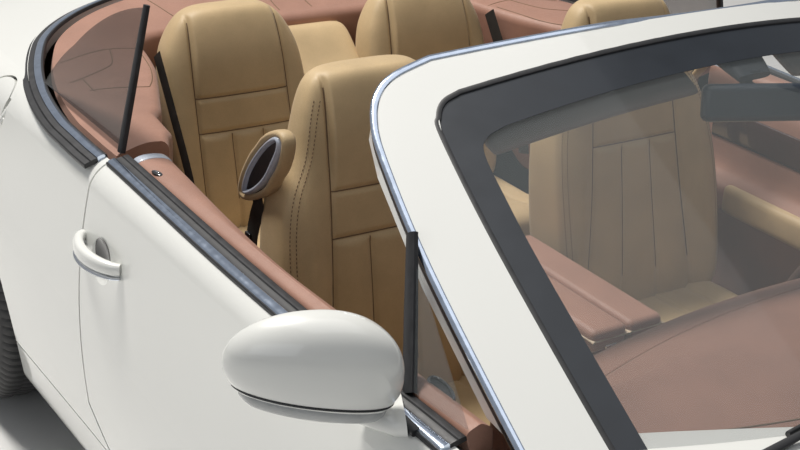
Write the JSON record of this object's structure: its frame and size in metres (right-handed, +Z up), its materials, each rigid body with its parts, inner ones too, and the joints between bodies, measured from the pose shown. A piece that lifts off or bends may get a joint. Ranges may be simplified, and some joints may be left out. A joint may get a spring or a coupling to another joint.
{
  "type": "grand touring convertible car",
  "caption": "Open four-seat grand touring convertible with opening doors, lids and fuel flap, steered front wheels and a full leather cabin.",
  "frame": {"origin": "on the ground under the middle of the car's bounding box", "axes": "+Z up, the nose points to -Y, +X is the car's left"},
  "size_m": [2.168, 4.904, 1.3446],
  "materials": {
    "paint": "gloss off-white paint",
    "dark_metal": "satin dark paint and sealer",
    "leather_brown": "satin brown leather",
    "leather_tan": "satin tan leather",
    "glass": "lightly tinted glass",
    "tinted_glass": "dark tinted glass",
    "lamp": "clear lamp cover",
    "tail_lamp": "red lamp cover",
    "black_plastic": "satin black",
    "chrome": "polished",
    "alloy": "machined and lacquered alloy",
    "tyre": "rubber tread and sidewall",
    "cast": "cast and machined",
    "steel": "brushed steel",
    "grip": "dark leather and lacquered wood"
  },
  "bodies": {
    "chassis": {"front_structure": "dark_metal", "rear_structure": "dark_metal", "front_arch_liners": "black_plastic", "rear_arch_liners": "black_plastic", "floor_tub": "dark_metal", "front_bumper": "paint", "front_wings": "paint", "scuttle": "paint", "sills": "paint", "rear_wings": "paint", "rear_bumper": "paint", "grille": "chrome", "headlamps": "lamp", "tail_lamps": "tail_lamp", "exhaust_pipes": "steel", "windscreen_frame": "paint", "windscreen": "glass", "screen_fittings": "leather_brown", "rear_quarter_lights": "tinted_glass", "dashboard": "leather_brown", "centre_console": "leather_brown", "rear_seats": "leather_tan", "cockpit_rear_trim": "leather_brown", "steering_column": "black_plastic", "engine_block": "cast", "front_suspension": "cast", "rear_suspension": "cast", "front_seat_right": "leather_tan", "front_seat_left": "leather_tan"},
    "door_right_leaf": {"door_right": "paint", "door_trim_right": "leather_brown", "door_handle_right": "paint", "door_mirror_right": "paint", "door_light_right": "glass"},
    "steering_knuckle_right": {"knuckle_right": "cast"},
    "wheel_front_right": {"tyre_front_right": "tyre", "rim_front_right": "alloy"},
    "wheel_rear_right": {"tyre_rear_right": "tyre", "rim_rear_right": "alloy"},
    "door_left_leaf": {"door_left": "paint", "door_trim_left": "leather_brown", "door_handle_left": "paint", "door_mirror_left": "paint", "door_light_left": "glass"},
    "steering_knuckle_left": {"knuckle_left": "cast"},
    "wheel_front_left": {"tyre_front_left": "tyre", "rim_front_left": "alloy"},
    "wheel_rear_left": {"tyre_rear_left": "tyre", "rim_rear_left": "alloy"},
    "bonnet_panel": {"bonnet": "paint"},
    "boot_panel": {"boot_lid": "paint"},
    "fuel_flap_panel": {"fuel_flap": "paint"},
    "hand_wheel": {"steering_wheel": "grip"}
  },
  "joints": [
    {"name": "door_right_hinge", "type": "hinge", "parent": "chassis", "child": "door_right_leaf", "pos_m": [-0.872, -0.907, 0.6], "axis": [0, 0, 1], "range_deg": [0, 65]},
    {"name": "steer_right", "type": "hinge", "parent": "chassis", "child": "steering_knuckle_right", "pos_m": [-0.748, -1.54, 0.35], "axis": [0, 0, 1], "range_deg": [-32, 32]},
    {"name": "wheel_front_right_spin", "type": "hinge", "parent": "steering_knuckle_right", "child": "wheel_front_right", "pos_m": [-0.811, -1.54, 0.35], "axis": [1, 0, 0], "continuous": true},
    {"name": "wheel_rear_right_spin", "type": "hinge", "parent": "chassis", "child": "wheel_rear_right", "pos_m": [-0.811, 1.368, 0.35], "axis": [1, 0, 0], "continuous": true},
    {"name": "door_left_hinge", "type": "hinge", "parent": "chassis", "child": "door_left_leaf", "pos_m": [0.872, -0.907, 0.6], "axis": [0, 0, -1], "range_deg": [0, 65]},
    {"name": "steer_left", "type": "hinge", "parent": "chassis", "child": "steering_knuckle_left", "pos_m": [0.748, -1.54, 0.35], "axis": [0, 0, 1], "range_deg": [-32, 32]},
    {"name": "wheel_front_left_spin", "type": "hinge", "parent": "steering_knuckle_left", "child": "wheel_front_left", "pos_m": [0.811, -1.54, 0.35], "axis": [1, 0, 0], "continuous": true},
    {"name": "wheel_rear_left_spin", "type": "hinge", "parent": "chassis", "child": "wheel_rear_left", "pos_m": [0.811, 1.368, 0.35], "axis": [1, 0, 0], "continuous": true},
    {"name": "bonnet_hinge", "type": "hinge", "parent": "chassis", "child": "bonnet_panel", "pos_m": [0, -1.062, 0.96045], "axis": [-1, 0, 0], "range_deg": [0, 48]},
    {"name": "boot_hinge", "type": "hinge", "parent": "chassis", "child": "boot_panel", "pos_m": [0, 1.743, 0.99034], "axis": [1, 0, 0], "range_deg": [0, 70]},
    {"name": "fuel_flap_hinge", "type": "hinge", "parent": "chassis", "child": "fuel_flap_panel", "pos_m": [-0.90434, 1.019, 0.8917], "axis": [0.6157, 0, 0.788], "range_deg": [0, 80]},
    {"name": "hand_wheel_turn", "type": "hinge", "parent": "chassis", "child": "hand_wheel", "pos_m": [0.383, -0.324, 0.8], "axis": [0, 0.9135, 0.4067], "range_deg": [-450, 450]}
  ],
  "couplings": [
    {"joint": "steer_left", "follows": "steer_right", "ratio": 1},
    {"joint": "hand_wheel_turn", "follows": "steer_right", "ratio": 14}
  ]
}
